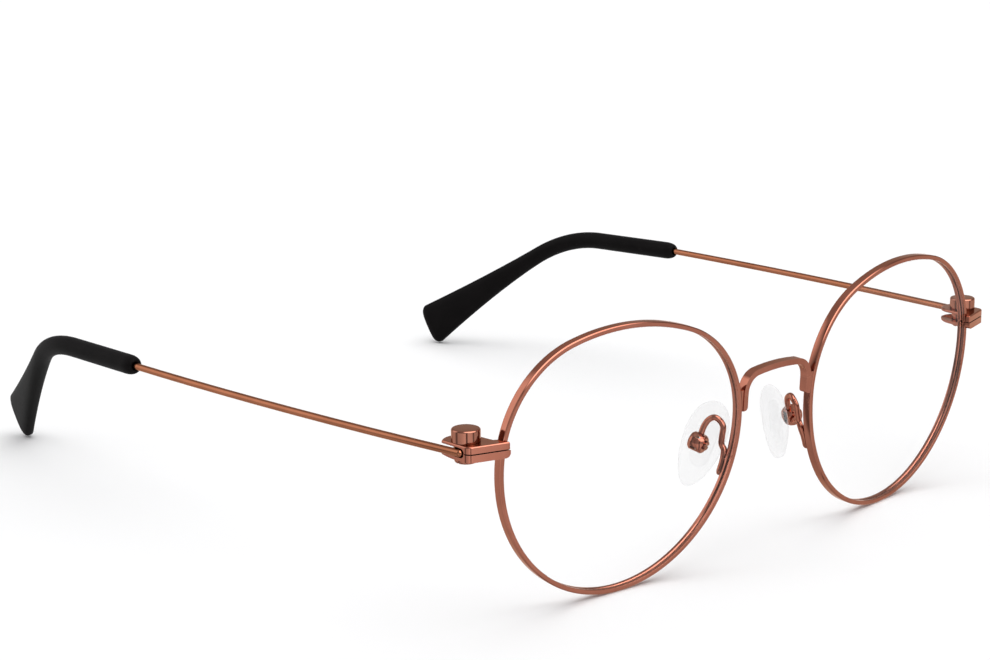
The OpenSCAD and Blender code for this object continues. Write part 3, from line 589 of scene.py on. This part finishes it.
def rim_profile():
    """The wire's section as (out, ahead) points, and whether the face after each gets the groove's
    painted shade.
    """
    half_d, inner = RIM_D / 2, -RIM_T
    lip_out, lip_side = inner + GROOVE_DEPTH * GROOVE_LIP, GROOVE_W / 2 * (1 - GROOVE_LIP)
    corners = [(inner, -half_d), (-RIM_BEVEL, -half_d), (0, RIM_BEVEL - half_d),
               (0, half_d - RIM_BEVEL), (-RIM_BEVEL, half_d), (inner, half_d),
               (inner, GROOVE_W / 2), (lip_out, lip_side), (inner + GROOVE_DEPTH, 0),
               (lip_out, -lip_side), (inner, -GROOVE_W / 2)]
    lip, deepest = 7, 8
    points, dark = [], []
    for i, corner in enumerate(corners):
        here = np.array(corner)
        before, after = np.array(corners[i - 1]), np.array(corners[(i + 1) % len(corners)])
        a, b = here + unit(before - here) * RIM_SOFT, here + unit(after - here) * RIM_SOFT
        for k in range(SOFT_STEPS + 1):
            t = k / SOFT_STEPS
            points.append((1 - t) ** 2 * a + 2 * t * (1 - t) * here + t ** 2 * b)
            dark.append(1 if i == deepest or (i == lip and k > 1) else 0)
    return points, dark


section, dark_after = rim_profile()
wire_rings = [[rim_place(x + out * nx, y + out * ny, ahead) for out, ahead in section]
              for x, y, nx, ny in outline_points()]
# The faces run ring by ring, and the two ends come last.
dark_faces = dark_after * (len(wire_rings) - 1) + [0, 0]
for side, sign in SIDES.items():
    wire = tube(side + "_rim_wire", wire_rings, sign < 0)
    finish_piece(wire, side + "_rim", rim_copper)
    # The groove faces get the darker copper: painted shade.
    wire.data.materials.append(groove)
    wire.data.polygons.foreach_set("material_index", dark_faces)


# Soft nose pads: an egg-shaped cushion, crowned towards the nose and dished round its core behind.
PAD_PIVOT = np.array([11.6, -68.3755, 19.5522])
PAD_TURN = (17.0, -15.0, -20.0)
PAD_W, PAD_H, PAD_T, PAD_MID, PAD_EGG = 7.4, 15.2, 2.0, -2.9, 0.2
PAD_EDGE = PAD_T * 0.45
PAD_SHIFT = (PAD_W * 0.054, -PAD_H * 0.03)
CROWN, FLANK, DISH, DISH_FROM = 0.14, 0.86, 0.72, 0.84
CROWN_SHARES = (0.03, 0.15, 0.3, 0.45, 0.6, 0.72, 0.83, 0.92)
BACK_SHARES = (0.93, 0.86, 0.8, 0.7, 0.5, 0.25, 0.04)
FLANK_TURN, FLANK_STEPS, PAD_POINTS, PAD_FILL = 78, 16, 64, 0.9


def pad_place(v):
    turned_x = Matrix.Rotation(math.radians(PAD_TURN[0]), 3, "X")
    turned_y = Matrix.Rotation(math.radians(PAD_TURN[1]), 3, "Y")
    turned_z = Matrix.Rotation(math.radians(PAD_TURN[2]), 3, "Z")
    return (PAD_PIVOT + np.array(turned_z @ turned_y @ turned_x @ Vector(v))) * MM


def egg(a, inset):
    """The pad's outline, from the middle of the pad, pulled in by the inset."""
    return (PAD_W / 2 - inset) * cos(a) * (1 + PAD_EGG * sin(a)), (PAD_H / 2 - inset) * sin(a)


def pad_rings():
    """From the middle of the nose side, over the edge, to the middle of the back."""
    sizes = []
    for share in CROWN_SHARES:
        sizes.append((share, PAD_EDGE, -PAD_T / 2 * (FLANK + CROWN * (1 - share ** 2))))
    for i in range(FLANK_STEPS + 1):
        a = FLANK_TURN * (2 * i / FLANK_STEPS - 1)
        sizes.append((1.0, PAD_EDGE * (1 - cos(a)), PAD_T / 2 * FLANK * sin(a) / sin(FLANK_TURN)))
    for share in BACK_SHARES:
        sizes.append((share, PAD_EDGE, PAD_T / 2 * (FLANK if share > DISH_FROM else DISH)))
    rings = []
    for share, inset, x in sizes:
        ring = []
        for k in range(PAD_POINTS):
            y, z = egg(360.0 * k / PAD_POINTS, inset)
            ring.append(pad_place((PAD_MID + x, PAD_SHIFT[0] + y * share, PAD_SHIFT[1] + z * share)))
        rings.append(ring)
    return rings


cushion_rings = pad_rings()
for side, sign in SIDES.items():
    pad = tube(side + "_soft_pad", cushion_rings, sign < 0)
    soft = pad.modifiers.new("soft", "SUBSURF")
    soft.levels = soft.render_levels = 1
    finish_piece(pad, side + "_nose_pad", pad_clear)


# Stage: a plain pale floor, which the metal doesn't mirror.
FLOOR_HALF = 12.0
FLOOR_DARK, FLOOR_PALE = (0.93, 0.93, 0.93), (0.95, 0.95, 0.95)
FLOOR_CLOUD, FLOOR_ROUGH = 3.0, 0.9


def floor_material():
    material, tree, shader = new_material("floor_white")
    cloud = spread(tree, noise(tree, FLOOR_CLOUD), 0.0, 1.0)
    tree.links.new(mix(tree, cloud, FLOOR_DARK, FLOOR_PALE), shader.inputs["Base Color"])
    shader.inputs["Roughness"].default_value = FLOOR_ROUGH
    shader.inputs["Specular IOR Level"].default_value = 0.0
    return material


corners = [(-1, -1), (1, -1), (1, 1), (-1, 1)]
floor = from_points("floor", [(x * FLOOR_HALF, y * FLOOR_HALF, 0) for x, y in corners],
                    [(0, 1, 2, 3)])
floor.data.materials.append(floor_material())
floor.visible_glossy = False


# Room: what the metal mirrors. Below the horizon a pale table, above it a greyer studio, with dark
# and bright screens round about; each screen is (azimuth, brightness).
ROOM_TONES = ((0.0, (0.60, 0.60, 0.60)), (0.30, (0.90, 0.90, 0.90)), (0.49, (0.98, 0.98, 0.98)),
              (0.51, (0.46, 0.46, 0.47)), (0.75, (0.42, 0.42, 0.43)), (1.0, (0.54, 0.54, 0.54)))
SCREENS = ((-180, 0.95), (-154, 1.25), (-134, 1.6), (-129, 0.15), (-122, 0.15), (-116, 1.45),
           (-80, 1.3), (-74, 0.3), (-67, 0.3), (-61, 1.1), (-30, 0.9), (20, 1.15), (70, 1.15),
           (110, 1.0), (138, 1.0), (146, 0.3), (158, 0.3), (166, 0.95), (180, 0.95))
SIDE_GLOW = ((-0.52, 0.70, 0.40), 18, 30, 1.1)
FRONT_GLOW = ((0.10, -0.55, 0.80), 30, 42, 3.4)

world = bpy.data.worlds.new("studio")
scene.world = world
world.use_nodes = True
tree = world.node_tree
tree.nodes.clear()
where = add(tree, "ShaderNodeTexCoord").outputs["Generated"]
ray = add(tree, "ShaderNodeLightPath")


def join(kind, operation, first, second, result):
    node = add(tree, kind, operation=operation)
    tree.links.new(first, node.inputs[0])
    tree.links.new(second, node.inputs[1])
    return node.outputs[result]


def glow(toward, inner, outer, power):
    """A soft round light of the studio, in one direction of the sky."""
    dot = add(tree, "ShaderNodeVectorMath", operation="DOT_PRODUCT")
    tree.links.new(where, dot.inputs[0])
    dot.inputs[1].default_value = Vector(toward).normalized()
    return spread(tree, dot.outputs["Value"], 0.0, power, cos(outer), cos(inner))


split = add(tree, "ShaderNodeSeparateXYZ")
tree.links.new(where, split.inputs["Vector"])
tone = ramp(tree, spread(tree, split.outputs["Z"], 0.0, 1.0, -1.0, 1.0), ROOM_TONES)
round_about = add(tree, "ShaderNodeTexGradient", gradient_type="RADIAL")
tree.links.new(where, round_about.inputs["Vector"])
screens = ramp(tree, round_about.outputs["Fac"], [(a / 360 + 0.5, (v, v, v)) for a, v in SCREENS])
room = join("ShaderNodeVectorMath", "MULTIPLY", tone, screens, "Vector")
# The front glow is for mirrored light only, so that it doesn't bleach the floor.
mirrored = join("ShaderNodeMath", "MULTIPLY", glow(*FRONT_GLOW), ray.outputs["Is Glossy Ray"],
                "Value")
glows = join("ShaderNodeMath", "ADD", glow(*SIDE_GLOW), mirrored, "Value")
total = join("ShaderNodeVectorMath", "ADD", room, glows, "Vector")
sky = add(tree, "ShaderNodeBackground")
tree.links.new(total, sky.inputs["Color"])
white = add(tree, "ShaderNodeBackground")
white.inputs["Color"].default_value = (1, 1, 1, 1)
choose = add(tree, "ShaderNodeMixShader")
tree.links.new(ray.outputs["Is Camera Ray"], choose.inputs["Fac"])
tree.links.new(sky.outputs["Background"], choose.inputs[1])
tree.links.new(white.outputs["Background"], choose.inputs[2])
out = add(tree, "ShaderNodeOutputWorld")
tree.links.new(choose.outputs["Shader"], out.inputs["Surface"])


# Key: one broad light from above for the contact shadows, not mirrored by the metal.
KEY_ENERGY, KEY_ANGLE, KEY_TOWARD = 1.72, 78, (-0.12, -0.04, -0.99)
key_data = bpy.data.lights.new("key", "SUN")
key_data.energy = KEY_ENERGY
key_data.angle = math.radians(KEY_ANGLE)
key = bpy.data.objects.new("key", key_data)
key.rotation_euler = Vector(KEY_TOWARD).to_track_quat("-Z", "Y").to_euler()
scene.collection.objects.link(key)
key.visible_glossy = False
